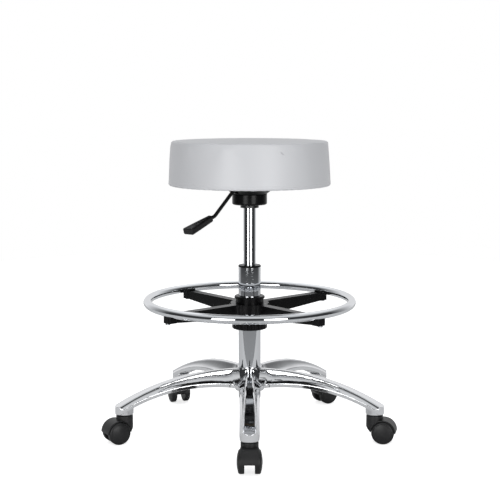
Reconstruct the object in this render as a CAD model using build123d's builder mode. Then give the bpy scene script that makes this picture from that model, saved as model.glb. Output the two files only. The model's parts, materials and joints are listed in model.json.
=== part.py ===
"""Round drafting stool: padded seat, gas lift, foot ring, five-star base and twin-wheel casters.

Millimetres and degrees. The origin is on the floor under the column, +Z is up, and -Y is the front.
"""
import os
from math import cos, radians, sin, sqrt, tan

from build123d import *

os.makedirs("parts", exist_ok=True)

# Clearances
running_fit = 0.05
face_gap = 0.3

# Casters
wheel_diameter = 50
wheel_gap = 21.2
tread_width = 7.6
wheel_edge = 1.2
rim_rise = 5.2
disc_radius = 20.2
disc_groove_width = 0.9
disc_groove_depth = 0.9
disc_rise = 5.4
wheel_dome = 8.2
wheel_side_gap = 0.6
wheel_hood_gap = 1.2
axle_diameter = 6
axle_grip = 11
axle_boss_radius = 8
hood_width = 39
hood_wall = 2
hood_edge = 1.6
hood_lip_height = 25.5
hood_back_height = 36
hood_heel_reach = 8
caster_trail = 20
caster_height = 61.5
neck_diameter = 37
neck_edge = 2.5
stem_diameter = 11
stem_in_hood = 18
stem_in_base = 20
stem_tip = 1.5
collar_diameter = 19
collar_thickness = 2.2
grip_width = 3
grip_thickness = 1.2
grip_below_end = 5
grip_slit = 1.5
trail_angles = {"front": 270, "right": 347, "rear_right": 32, "rear_left": 110, "left": 210}

# Star base
arm_count = 5
front_arm_angle = -90
caster_circle_radius = 290
boss_radius = 20.7
boss_inset = 0.6
boss_height = 14
arm_rise = 83
arm_drop = 56
arm_fall_power = 2.3
arm_start_radius = 40
arm_root_depth = 40
arm_tip_depth = 19.3
arm_depth_power = 1.75
arm_root_half_width = 24
arm_width_power = 2
arm_web_fillet = 18
arm_lip_height = 8.5
arm_root_facet = 6
arm_tip_facet = 15
arm_top_fillet = 4.5
arm_side_fillet = 2
arm_root_scoop = 3
arm_tip_scoop = 1.2
arm_wall = 4.5
arm_section_count = 6
hub_radius = 34
hub_skirt_radius = 32
hub_skirt_height = 16
hub_height = 51
hub_shoulder = 22
hub_sweep = 1.5
hub_collar_wall = 2.5
hub_collar_height = 3

# Gas lift
column_diameter = 50
column_wall = 2
column_length = 300
column_stub = 18
column_floor = 4
bush_depth = 78
bush_lip_height = 4
bush_lip_radius = 25.4
bush_lip_edge = 1.2
cylinder_diameter = 28
cylinder_wall = 2
cylinder_length = 351
lift_shown = 129
socket_grip = 36
rod_diameter = 10
rod_length = 310
rod_below_column = 6
rod_collar_diameter = 18
rod_collar_height = 4
piston_height = 20
rod_guide_height = 22
valve_height = 39
washer_outer_diameter = 22
washer_thickness = 1.5
ball_diameter = 4
ball_count = 8
ball_circle_radius = 8
cage_width = 3.2
cage_height = 1.6
clip_thickness = 1.2
clip_groove_depth = 0.8
clip_outer_diameter = 16

# Release pin and lever
release_pin_diameter = 6
release_pin_depth = 32
release_pin_stand = 3.5
release_pin_travel_room = 4
lever_gap = 0.5
lever_azimuth = 230
lever_rod_diameter = 8
lever_inner_end = 6
lever_pivot_radius = 28
lever_pin_diameter = 4
lever_bend_radius = 51
lever_knee_radius = 117
lever_knee_drop = 54.5
lever_bend = 20
lever_grip_fall = 17.3
lever_grip_start = 14
lever_grip_length = 75
lever_rod_in_grip = 40
lever_headroom = 3.5
grip_root_width = 12
grip_root_height = 14
grip_middle_width = 21
grip_end_width = 28
grip_height = 14
grip_corner = 3.5
grip_edge = 2
lug_thickness = 3
lug_width = 10

# Seat
seat_radius = 181
seat_top_radius = 173.8
seat_height = 97
seat_crown = 5.5
seat_side_bulge = 1.2
seat_top_corner = 8
seat_bottom_corner = 5
cover_thickness = 1.5
cover_turn_in = 28
board_radius = 168
board_thickness = 12
dust_cover_thickness = 1
plate_side = 160
plate_corner = 14
plate_thickness = 3
dish_top_radius = 62
dish_floor_radius = 37
dish_depth = 21.5
plate_slot_width = 12
plate_slot_end = 72
dust_cover_gap = 2
bolt_circle_radius = 88
bolt_diameter = 8
bolt_head_diameter = 13
bolt_head_height = 5.3
tee_nut_flange_radius = 10
tee_nut_flange_thickness = 1.5
tee_nut_barrel_radius = 5.2
tee_nut_barrel_height = 9
cup_radius = 39
cup_height = 23
cup_wall = 3
cup_corner = 4
socket_radius = 20.5
socket_below_top = 2

# Foot ring
ring_height = 300
ring_radius = 229.4
ring_tube_diameter = 19
ring_tube_wall = 1.5
spoke_count = 4
first_spoke_angle = 40.6
spoke_width = 21
spoke_wall = 3.5
spoke_top_drop = 3.7
spoke_root_radius = 98
spoke_root_depth = 28.3
spoke_tip_depth = 17.5
spider_hub_radius = 43
spider_hub_height = 32
spider_web_fillet = 15
saddle_width = 23
saddle_inner_radius = 211
saddle_outer_radius = 234
saddle_depth = 23
saddle_corner = 4
ring_screw_diameter = 5
ring_screw_length = 19
ring_screw_head_diameter = 10
ring_screw_head_height = 3
collet_radius = 31.5
collet_flange_radius = 34.2
collet_flange_rise = 12.3
collet_flange_thickness = 5
collet_flange_edge = 1.5
collet_slit_width = 2
collet_slit_length = 20
nut_radius = 39.5
nut_height = 26
nut_lip = 2.5
nut_flute_count = 16
nut_flute_radius = 4
nut_flute_depth = 2.6
nut_edge = 1.5

# Worked-out heights, from the floor up
wheel_radius = wheel_diameter / 2
axle_height = wheel_radius
web_width = wheel_gap - 2 * wheel_side_gap
pocket_radius = wheel_radius + wheel_hood_gap
hood_radius = pocket_radius + hood_wall
stem_radius = stem_diameter / 2
boss_bottom = caster_height + collar_thickness + face_gap
stem_top = boss_bottom + stem_in_base
arm_root_top = boss_bottom + arm_rise
hub_top = arm_root_top + hub_collar_height
hub_bottom = hub_top - hub_height - hub_collar_height
column_radius = column_diameter / 2
column_bore = column_radius - column_wall
column_bottom = hub_bottom - column_stub
column_top = column_bottom + column_length
lip_top = column_top + bush_lip_height
cylinder_radius = cylinder_diameter / 2
cylinder_bore = cylinder_radius - cylinder_wall
socket_bottom = lip_top + lift_shown
cylinder_top = socket_bottom + socket_grip
cylinder_bottom = cylinder_top - cylinder_length
socket_top = cylinder_top - socket_below_top
rod_radius = rod_diameter / 2
rod_bottom = column_bottom - rod_below_column
rod_top = rod_bottom + rod_length
lower_washer_bottom = column_bottom + column_floor
ball_room = ball_diameter + 2 * running_fit
upper_washer_bottom = lower_washer_bottom + washer_thickness + ball_room
rod_collar_bottom = upper_washer_bottom + washer_thickness
washer_bore = rod_radius + face_gap
release_pin_radius = release_pin_diameter / 2
release_pin_top = cylinder_top + release_pin_stand
lever_rod_radius = lever_rod_diameter / 2
lever_height = release_pin_top + lever_gap + lever_rod_radius
board_bottom = lever_height + lever_rod_radius + lever_headroom
board_top = board_bottom + board_thickness
seat_bottom = board_bottom - cover_thickness
plate_bottom = board_bottom - plate_thickness
dish_bottom = board_bottom - dish_depth
dish_floor = dish_bottom + plate_thickness
cup_bottom = dish_bottom - cup_height
spoke_top = ring_height - spoke_top_drop
spider_bottom = spoke_top - spider_hub_height
ring_tube_radius = ring_tube_diameter / 2
saddle_bottom = ring_height - saddle_depth
collet_flange_bottom = ring_height + collet_flange_rise - collet_flange_thickness
nut_top = spider_bottom - face_gap
nut_bottom = nut_top - nut_height
collet_bottom = nut_bottom + nut_lip + face_gap

half_sector = radians(180 / arm_count)
web_centre = (arm_root_half_width + arm_web_fillet) / tan(half_sector)
web_start = web_centre - arm_web_fillet * cos(half_sector)

# Shared planes and axes
column_section = Plane.XZ
lever_side = Plane(
    origin=(0, 0, 0),
    x_dir=(cos(radians(lever_azimuth)), sin(radians(lever_azimuth)), 0),
    z_dir=(sin(radians(lever_azimuth)), -cos(radians(lever_azimuth)), 0),
)
axle_side = Plane(origin=(caster_trail, 0, axle_height), x_dir=(0, 1, 0), z_dir=(1, 0, 0))
axle_axis = Axis((caster_trail, 0, axle_height), (0, 1, 0))


def save(piece, name):
    """Label a finished piece and write it as its own file."""
    piece.label = name
    export_step(piece, f"parts/{name}.step")


def turned(points):
    """A closed profile of (radius, height) points, as a face on the column's section plane."""
    with BuildSketch(column_section) as profile:
        with BuildLine():
            Polyline(*points, close=True)
        make_face()
    return profile.sketch


def arm_share(radius):
    """How far along the arm a radius lies: 0 at the root and 1 at the caster."""
    return max(radius - arm_start_radius, 0) / (caster_circle_radius - arm_start_radius)


def arm_top(radius):
    """Height of the arm's upper facet."""
    return arm_root_top - arm_drop * arm_share(radius) ** arm_fall_power


def arm_taper(radius, root, tip, power):
    """A size of the arm that shrinks from its root to its tip."""
    left = max(1 - arm_share(radius), 0)
    return tip + (root - tip) * left ** power


def arm_half_width(radius):
    """Half the arm's width, which flares into a round web between neighbouring arms."""
    straight = arm_taper(radius, arm_root_half_width, boss_radius, arm_width_power)
    flare = min(max(web_centre - radius, 0), arm_web_fillet)
    return straight + arm_web_fillet - sqrt(arm_web_fillet ** 2 - flare ** 2)


def arm_section(radius, wall):
    """One cross-section of the arm, drawn in from the outside by the wall."""
    top = arm_top(radius) - wall
    bottom = arm_top(radius) - arm_taper(radius, arm_root_depth, arm_tip_depth, arm_depth_power)
    half = arm_half_width(radius) - wall
    facet = arm_root_facet + (arm_tip_facet - arm_root_facet) * arm_share(radius) - wall / 2
    lip = bottom + arm_lip_height
    scoop = arm_root_scoop + (arm_tip_scoop - arm_root_scoop) * arm_share(radius)
    waist = ((half + facet) / 2 - scoop, (lip + top) / 2 - scoop)
    station = Plane(origin=(radius, 0, 0), x_dir=(0, 1, 0), z_dir=(1, 0, 0))
    with BuildSketch(station) as section:
        with BuildLine():
            Polyline((-half, lip), (-half, bottom - wall), (half, bottom - wall), (half, lip))
            ThreePointArc((half, lip), waist, (facet, top))
            Line((facet, top), (-facet, top))
            ThreePointArc((-facet, top), (-waist[0], waist[1]), (-half, lip))
        make_face()
        if wall == 0:
            fillet(section.vertices().group_by(Axis.Y)[-1], arm_top_fillet)
            fillet(section.vertices().group_by(Axis.Y)[1], arm_side_fillet)
    return section.sketch


def add_arm(start, end, wall):
    """Loft one stretch of the arm, through evenly spaced sections, into the part being built."""
    step = (end - start) / (arm_section_count - 1)
    loft([arm_section(start + step * index, wall) for index in range(arm_section_count)])


# Star base: five hollow arms on a hub, with a caster socket at each tip
arm_end = caster_circle_radius + boss_radius
with BuildPart() as arm:
    add_arm(web_centre, arm_end + arm_wall, 0)
    add_arm(web_start, web_centre, 0)
    extrude(to_extrude=arm_section(web_start, 0), amount=web_start, dir=(-1, 0, 0))
    with BuildSketch(Plane.XY.offset(boss_bottom)):
        with Locations((caster_circle_radius / 2, 0)):
            Rectangle(caster_circle_radius, 4 * arm_root_half_width)
        with Locations((caster_circle_radius, 0)):
            Circle(boss_radius)
    extrude(amount=hub_top - boss_bottom, mode=Mode.INTERSECT)

with BuildPart() as arm_hollow:
    add_arm(web_centre, caster_circle_radius - boss_radius, arm_wall)

hub_collar_radius = column_radius + hub_collar_wall
hub_shoulder_height = arm_root_top - hub_shoulder
with BuildPart() as star_base:
    with PolarLocations(0, arm_count, front_arm_angle):
        add(arm.part)
    with PolarLocations(0, arm_count, front_arm_angle):
        add(arm_hollow.part, mode=Mode.SUBTRACT)
    with BuildSketch(column_section):
        with BuildLine():
            Polyline(
                (0, hub_top),
                (0, hub_bottom),
                (hub_skirt_radius, hub_bottom),
                (hub_radius, hub_bottom + hub_skirt_height),
                (hub_radius, hub_shoulder_height),
            )
            ThreePointArc(
                (hub_radius, hub_shoulder_height),
                (
                    (hub_radius + hub_collar_radius) / 2 - hub_sweep,
                    (hub_shoulder_height + hub_top) / 2 - hub_sweep,
                ),
                (hub_collar_radius, hub_top),
            )
            Line((hub_collar_radius, hub_top), (0, hub_top))
        make_face()
    revolve(axis=Axis.Z)
    with BuildSketch(Plane.XY.offset(boss_bottom)):
        with PolarLocations(caster_circle_radius, arm_count, front_arm_angle):
            Circle(boss_radius - boss_inset)
    extrude(amount=boss_height)
    with BuildSketch(Plane.XY.offset(boss_bottom)):
        with PolarLocations(caster_circle_radius, arm_count, front_arm_angle):
            Circle(stem_radius + running_fit)
    extrude(amount=stem_in_base + face_gap, mode=Mode.SUBTRACT)
    with BuildSketch(Plane.XY.offset(hub_bottom)):
        Circle(column_radius)
    extrude(amount=hub_top - hub_bottom, mode=Mode.SUBTRACT)
save(star_base.part, "star_base")

# Column tube with its floor
with BuildPart() as column_tube:
    add(
        turned(
            [
                (rod_radius + running_fit, column_bottom),
                (column_radius, column_bottom),
                (column_radius, column_top),
                (column_bore, column_top),
                (column_bore, lower_washer_bottom),
                (rod_radius + running_fit, lower_washer_bottom),
            ]
        )
    )
    revolve(axis=Axis.Z)
save(column_tube.part, "column_tube")

# Plastic bush that guides the lift cylinder
with BuildPart() as guide_bush:
    add(
        turned(
            [
                (cylinder_radius + running_fit, column_top - bush_depth),
                (column_bore, column_top - bush_depth),
                (column_bore, column_top),
                (bush_lip_radius, column_top),
                (bush_lip_radius, lip_top - bush_lip_edge),
                (bush_lip_radius - bush_lip_edge, lip_top),
                (cylinder_radius + running_fit, lip_top),
            ]
        )
    )
    revolve(axis=Axis.Z)
save(guide_bush.part, "guide_bush")

# Thrust bearing under the rod's collar
for name, bottom in (("lower_washer", lower_washer_bottom), ("upper_washer", upper_washer_bottom)):
    with BuildPart() as washer:
        with BuildSketch(Plane.XY.offset(bottom)):
            Circle(washer_outer_diameter / 2)
            Circle(washer_bore, mode=Mode.SUBTRACT)
        extrude(amount=washer_thickness)
    save(washer.part, name)

ball_height = lower_washer_bottom + washer_thickness + ball_room / 2
with BuildPart() as bearing_cage:
    with BuildSketch(Plane.XY.offset(ball_height)):
        Circle(ball_circle_radius + cage_width / 2)
        Circle(ball_circle_radius - cage_width / 2, mode=Mode.SUBTRACT)
    extrude(amount=cage_height / 2, both=True)
    with Locations(Plane.XY.offset(ball_height)):
        with PolarLocations(ball_circle_radius, ball_count):
            Sphere(ball_diameter / 2)
save(bearing_cage.part, "bearing_cage")

# Piston rod, held by a clip under the column and carried on the bearing
clip_top = column_bottom - face_gap
clip_bottom = clip_top - clip_thickness
groove_radius = rod_radius - clip_groove_depth
with BuildPart() as piston_rod:
    add(
        turned(
            [
                (0, rod_bottom),
                (rod_radius, rod_bottom),
                (rod_radius, clip_bottom),
                (groove_radius, clip_bottom),
                (groove_radius, clip_top),
                (rod_radius, clip_top),
                (rod_radius, rod_collar_bottom),
                (rod_collar_diameter / 2, rod_collar_bottom),
                (rod_collar_diameter / 2, rod_collar_bottom + rod_collar_height),
                (rod_radius, rod_collar_bottom + rod_collar_height),
                (rod_radius, rod_top),
                (0, rod_top),
            ]
        )
    )
    revolve(axis=Axis.Z)
save(piston_rod.part, "piston_rod")

with BuildPart() as rod_clip:
    with BuildSketch(Plane.XY.offset(clip_bottom)):
        Circle(clip_outer_diameter / 2)
        Circle(groove_radius, mode=Mode.SUBTRACT)
        with Locations((clip_outer_diameter / 2, 0)):
            Rectangle(clip_outer_diameter, 2 * groove_radius, mode=Mode.SUBTRACT)
    extrude(amount=clip_thickness)
save(rod_clip.part, "rod_clip")

with BuildPart() as piston_head:
    with BuildSketch(Plane.XY.offset(rod_top - piston_height)):
        Circle(cylinder_bore - running_fit)
        Circle(rod_radius, mode=Mode.SUBTRACT)
    extrude(amount=piston_height)
save(piston_head.part, "piston_head")

# Lift cylinder, its rod guide and its valve
with BuildPart() as lift_cylinder:
    with BuildSketch(Plane.XY.offset(cylinder_bottom)):
        Circle(cylinder_radius)
        Circle(cylinder_bore, mode=Mode.SUBTRACT)
    extrude(amount=cylinder_length)
save(lift_cylinder.part, "lift_cylinder")

with BuildPart() as rod_guide:
    with BuildSketch(Plane.XY.offset(cylinder_bottom)):
        Circle(cylinder_bore)
        Circle(rod_radius + running_fit, mode=Mode.SUBTRACT)
    extrude(amount=rod_guide_height)
save(rod_guide.part, "rod_guide")

with BuildPart() as valve_body:
    with BuildSketch(Plane.XY.offset(cylinder_top - valve_height)):
        Circle(cylinder_bore)
    extrude(amount=valve_height)
    with BuildSketch(Plane.XY.offset(cylinder_top)):
        Circle(release_pin_radius + running_fit)
    extrude(amount=-(release_pin_depth + release_pin_travel_room), mode=Mode.SUBTRACT)
save(valve_body.part, "valve_body")

with BuildPart() as release_pin:
    with BuildSketch(Plane.XY.offset(cylinder_top - release_pin_depth)):
        Circle(release_pin_radius)
    extrude(amount=release_pin_depth + release_pin_stand)
    chamfer(release_pin.edges().sort_by(Axis.Z)[-1], release_pin_radius / 4)
save(release_pin.part, "release_pin")

# Taper socket, mechanism cup and pressed seat plate
with BuildPart() as taper_socket:
    with BuildSketch(Plane.XY.offset(socket_bottom)):
        Circle(socket_radius)
        Circle(cylinder_radius, mode=Mode.SUBTRACT)
    extrude(amount=socket_top - socket_bottom)
save(taper_socket.part, "taper_socket")

with BuildPart() as mechanism_cup:
    with BuildSketch(Plane.XY.offset(cup_bottom)):
        Circle(cup_radius)
    extrude(amount=cup_height)
    fillet(mechanism_cup.edges().sort_by(Axis.Z)[0], cup_corner)
    with BuildSketch(Plane.XY.offset(cup_bottom + cup_wall)):
        Circle(cup_radius - cup_wall)
    extrude(amount=cup_height - cup_wall, mode=Mode.SUBTRACT)
    with BuildSketch(Plane.XY.offset(cup_bottom)):
        Circle(socket_radius)
    extrude(amount=cup_wall, mode=Mode.SUBTRACT)
save(mechanism_cup.part, "mechanism_cup")

plate_top_plane = Plane.XY.offset(board_bottom).rotated((0, 0, lever_azimuth))
lug_offset = lever_rod_radius + face_gap + lug_thickness / 2
lug_height = lever_height + lug_width / 2 - dish_floor
with BuildPart() as seat_plate:
    with BuildSketch(plate_top_plane):
        RectangleRounded(plate_side, plate_side, plate_corner)
        Circle(dish_top_radius - plate_thickness, mode=Mode.SUBTRACT)
        with PolarLocations(bolt_circle_radius, 4, 45):
            Circle(bolt_diameter / 2, mode=Mode.SUBTRACT)
    extrude(amount=-plate_thickness)
    add(
        turned(
            [
                (socket_radius, dish_bottom),
                (dish_floor_radius, dish_bottom),
                (dish_top_radius, plate_bottom),
                (dish_top_radius, board_bottom),
                (dish_top_radius - plate_thickness, board_bottom),
                (dish_floor_radius - plate_thickness, dish_floor),
                (socket_radius, dish_floor),
            ]
        )
    )
    revolve(axis=Axis.Z)
    with BuildSketch(plate_top_plane):
        with Locations(((dish_floor_radius - plate_thickness + plate_slot_end) / 2, 0)):
            Rectangle(plate_slot_end - dish_floor_radius + plate_thickness, plate_slot_width)
    extrude(amount=dish_floor - board_bottom, mode=Mode.SUBTRACT)
    with BuildSketch(Plane.XY.offset(dish_floor).rotated((0, 0, lever_azimuth))):
        with Locations((lever_pivot_radius, lug_offset), (lever_pivot_radius, -lug_offset)):
            Rectangle(lug_width, lug_thickness)
    extrude(amount=lug_height)
    with BuildSketch(lever_side):
        with Locations((lever_pivot_radius, lever_height)):
            Circle(lever_pin_diameter / 2)
    extrude(amount=plate_slot_width, both=True, mode=Mode.SUBTRACT)
save(seat_plate.part, "seat_plate")

# Height lever: a bent rod on its pin, with a flat moulded grip
grip_slope = radians(lever_grip_fall)
knee = (lever_knee_radius, lever_height - lever_knee_drop)


def along_grip(distance):
    """A point of the lever's side view, that far past the knee."""
    return (knee[0] + distance * cos(grip_slope), knee[1] - distance * sin(grip_slope))


with BuildPart() as lever_rod:
    with BuildLine(lever_side) as lever_path:
        FilletPolyline(
            (-lever_inner_end, lever_height),
            (lever_bend_radius, lever_height),
            knee,
            along_grip(lever_grip_start + lever_rod_in_grip),
            radius=lever_bend,
        )
    with BuildSketch(Plane(origin=lever_path.line @ 0, z_dir=lever_path.line % 0)):
        Circle(lever_rod_radius)
    sweep()
    with BuildSketch(lever_side):
        with Locations((lever_pivot_radius, lever_height)):
            Circle(lever_pin_diameter / 2 + running_fit)
    extrude(amount=lever_rod_diameter, both=True, mode=Mode.SUBTRACT)
save(lever_rod.part, "lever_rod")

with BuildPart() as lever_pin:
    with BuildSketch(lever_side):
        with Locations((lever_pivot_radius, lever_height)):
            Circle(lever_pin_diameter / 2)
    extrude(amount=lug_offset + lug_thickness / 2, both=True)
save(lever_pin.part, "lever_pin")

grip_direction = lever_path.line % 1
grip_across = lever_side.z_dir
grip_sections = (
    (0, grip_root_width, grip_root_height),
    (lever_grip_length / 2, grip_middle_width, grip_height),
    (lever_grip_length, grip_end_width, grip_height),
)
with BuildPart() as lever_grip:
    for distance, width, height in grip_sections:
        centre = lever_side.from_local_coords(along_grip(lever_grip_start + distance))
        with BuildSketch(Plane(origin=centre, x_dir=grip_across, z_dir=grip_direction)):
            RectangleRounded(width, height, grip_corner)
    loft()
    fillet(lever_grip.faces().sort_by(Axis(lever_path.line @ 1, grip_direction))[-1].edges(), grip_edge)
    add(lever_rod.part, mode=Mode.SUBTRACT)
save(lever_grip.part, "lever_grip")

# Seat board, its bolts and tee nuts, the dust cover and the padded cushion
with BuildPart() as seat_board:
    with BuildSketch(Plane.XY.offset(board_bottom)):
        Circle(board_radius)
        with PolarLocations(bolt_circle_radius, 4, lever_azimuth + 45):
            Circle(tee_nut_barrel_radius, mode=Mode.SUBTRACT)
    extrude(amount=board_thickness)
    with BuildSketch(Plane.XY.offset(board_top)):
        with PolarLocations(bolt_circle_radius, 4, lever_azimuth + 45):
            Circle(tee_nut_flange_radius)
    extrude(amount=-tee_nut_flange_thickness, mode=Mode.SUBTRACT)
save(seat_board.part, "seat_board")

with BuildPart() as tee_nuts:
    with BuildSketch(Plane.XY.offset(board_top - tee_nut_flange_thickness)):
        with PolarLocations(bolt_circle_radius, 4, lever_azimuth + 45):
            Circle(tee_nut_flange_radius)
            Circle(bolt_diameter / 2, mode=Mode.SUBTRACT)
    extrude(amount=tee_nut_flange_thickness)
    with BuildSketch(Plane.XY.offset(board_top - tee_nut_flange_thickness)):
        with PolarLocations(bolt_circle_radius, 4, lever_azimuth + 45):
            Circle(tee_nut_barrel_radius)
            Circle(bolt_diameter / 2, mode=Mode.SUBTRACT)
    extrude(amount=-tee_nut_barrel_height)
save(tee_nuts.part, "tee_nuts")

with BuildPart() as seat_bolts:
    with BuildSketch(Plane.XY.offset(plate_bottom)):
        with PolarLocations(bolt_circle_radius, 4, lever_azimuth + 45):
            RegularPolygon(bolt_head_diameter / 2, 6, major_radius=False)
    extrude(amount=-bolt_head_height)
    with BuildSketch(Plane.XY.offset(plate_bottom)):
        with PolarLocations(bolt_circle_radius, 4, lever_azimuth + 45):
            Circle(bolt_diameter / 2)
    extrude(amount=board_top - plate_bottom)
save(seat_bolts.part, "seat_bolts")

with BuildPart() as dust_cover:
    with BuildSketch(plate_top_plane):
        Circle(board_radius - cover_turn_in)
        RectangleRounded(
            plate_side + 2 * dust_cover_gap,
            plate_side + 2 * dust_cover_gap,
            plate_corner,
            mode=Mode.SUBTRACT,
        )
    extrude(amount=-dust_cover_thickness)
save(dust_cover.part, "dust_cover")

seat_edge = seat_bottom + seat_height
with BuildPart() as seat_cushion:
    with BuildSketch(column_section) as cushion_profile:
        with BuildLine():
            crown = ThreePointArc(
                (-seat_top_radius, seat_edge),
                (0, seat_edge + seat_crown),
                (seat_top_radius, seat_edge),
            )
            ThreePointArc(
                crown @ 1,
                (
                    (seat_radius + seat_top_radius) / 2 + seat_side_bulge,
                    (seat_bottom + seat_edge) / 2,
                ),
                (seat_radius, seat_bottom),
            )
            Line((seat_radius, seat_bottom), (-seat_radius, seat_bottom))
            ThreePointArc(
                (-seat_radius, seat_bottom),
                (
                    -(seat_radius + seat_top_radius) / 2 - seat_side_bulge,
                    (seat_bottom + seat_edge) / 2,
                ),
                crown @ 0,
            )
        make_face()
        fillet(cushion_profile.vertices().group_by(Axis.Y)[0], seat_bottom_corner)
        fillet(cushion_profile.vertices().group_by(Axis.Y)[-1], seat_top_corner)
        with Locations((-seat_radius, seat_edge)):
            Rectangle(2 * seat_radius, 4 * seat_height, mode=Mode.SUBTRACT)
    revolve(axis=Axis.Z)
    with BuildSketch(Plane.XY.offset(board_bottom)):
        Circle(board_radius)
    extrude(amount=board_thickness, mode=Mode.SUBTRACT)
    with BuildSketch(Plane.XY.offset(seat_bottom)):
        Circle(board_radius - cover_turn_in)
    extrude(amount=cover_thickness, mode=Mode.SUBTRACT)
save(seat_cushion.part, "seat_cushion")

# Foot ring, its plastic spider and its screws
with BuildPart() as foot_ring:
    with Locations((0, 0, ring_height)):
        Torus(ring_radius, ring_tube_radius)
        Torus(ring_radius, ring_tube_radius - ring_tube_wall, mode=Mode.SUBTRACT)
    with BuildSketch(Plane.XY.offset(ring_height)):
        with PolarLocations(ring_radius, spoke_count, first_spoke_angle):
            Circle(ring_screw_diameter / 2)
    extrude(amount=-ring_tube_diameter, mode=Mode.SUBTRACT)
save(foot_ring.part, "foot_ring")

spider_bore = collet_radius + running_fit
with BuildPart() as ring_spider:
    with BuildSketch(Plane.XY.offset(spider_bottom)) as spider_plan:
        Circle(spider_hub_radius)
        with PolarLocations(saddle_inner_radius / 2, spoke_count, first_spoke_angle):
            Rectangle(saddle_inner_radius, spoke_width)
        inner_corners = spider_plan.vertices().filter_by(
            lambda corner: corner.center().length < spider_hub_radius + spoke_width / 2
        )
        fillet(inner_corners, spider_web_fillet)
    extrude(amount=spider_hub_height)
    add(
        turned(
            [
                (0, spider_bottom),
                (spider_hub_radius, spider_bottom),
                (spoke_root_radius, spoke_top - spoke_root_depth),
                (saddle_outer_radius, spoke_top - spoke_tip_depth),
                (saddle_outer_radius, spoke_top),
                (0, spoke_top),
            ]
        )
    )
    revolve(axis=Axis.Z, mode=Mode.INTERSECT)
    hollow_length = saddle_inner_radius - spider_hub_radius - 2 * spoke_wall
    with BuildSketch(Plane.XY.offset(spider_bottom)):
        with PolarLocations(spider_hub_radius + hollow_length / 2, spoke_count, first_spoke_angle):
            Rectangle(hollow_length, spoke_width - 2 * spoke_wall)
    extrude(amount=spider_hub_height - spoke_wall, mode=Mode.SUBTRACT)
    with BuildSketch(Plane.XY.offset(saddle_bottom)):
        with PolarLocations((saddle_inner_radius + saddle_outer_radius) / 2, spoke_count,
                            first_spoke_angle):
            RectangleRounded(saddle_outer_radius - saddle_inner_radius, saddle_width, saddle_corner)
    extrude(amount=saddle_depth)
    with BuildSketch(Plane.XY.offset(spider_bottom)):
        Circle(spider_bore)
    extrude(amount=spider_hub_height, mode=Mode.SUBTRACT)
    with BuildSketch(Plane.XY.offset(saddle_bottom)):
        with PolarLocations(ring_radius, spoke_count, first_spoke_angle):
            Circle(ring_screw_diameter / 2)
    extrude(amount=saddle_depth, mode=Mode.SUBTRACT)
    with Locations((0, 0, ring_height)):
        Torus(ring_radius, ring_tube_radius, mode=Mode.SUBTRACT)
save(ring_spider.part, "ring_spider")

with BuildPart() as ring_screws:
    with BuildSketch(Plane.XY.offset(saddle_bottom)):
        with PolarLocations(ring_radius, spoke_count, first_spoke_angle):
            Circle(ring_screw_diameter / 2)
    extrude(amount=ring_screw_length)
    with BuildSketch(Plane.XY.offset(saddle_bottom)):
        with PolarLocations(ring_radius, spoke_count, first_spoke_angle):
            Circle(ring_screw_head_diameter / 2)
    extrude(amount=-ring_screw_head_height)
save(ring_screws.part, "ring_screws")

# Clamp collet and fluted nut that hold the foot ring on the column
collet_bore = column_radius + running_fit
flange_top = collet_flange_bottom + collet_flange_thickness
with BuildPart() as clamp_collet:
    add(
        turned(
            [
                (collet_bore, collet_bottom),
                (collet_radius, collet_bottom),
                (collet_radius, collet_flange_bottom),
                (collet_flange_radius, collet_flange_bottom),
                (collet_flange_radius, flange_top - collet_flange_edge),
                (collet_flange_radius - collet_flange_edge, flange_top),
                (collet_bore, flange_top),
            ]
        )
    )
    revolve(axis=Axis.Z)
    with BuildSketch(Plane.XY.offset(collet_bottom)):
        Rectangle(2 * collet_radius, collet_slit_width)
        Rectangle(collet_slit_width, 2 * collet_radius)
    extrude(amount=collet_slit_length, mode=Mode.SUBTRACT)
save(clamp_collet.part, "clamp_collet")

with BuildPart() as clamp_nut:
    add(
        turned(
            [
                (column_radius + face_gap, nut_bottom),
                (nut_radius - nut_edge, nut_bottom),
                (nut_radius, nut_bottom + nut_edge),
                (nut_radius, nut_top - nut_edge),
                (nut_radius - nut_edge, nut_top),
                (collet_radius + running_fit, nut_top),
                (collet_radius + running_fit, nut_bottom + nut_lip),
                (column_radius + face_gap, nut_bottom + nut_lip),
            ]
        )
    )
    revolve(axis=Axis.Z)
    with BuildSketch(Plane.XY.offset(nut_bottom)):
        flute_circle_radius = nut_radius + nut_flute_radius - nut_flute_depth
        with PolarLocations(flute_circle_radius, nut_flute_count, 180 / nut_flute_count):
            Circle(nut_flute_radius)
    extrude(amount=nut_height, mode=Mode.SUBTRACT)
save(clamp_nut.part, "clamp_nut")

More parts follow.
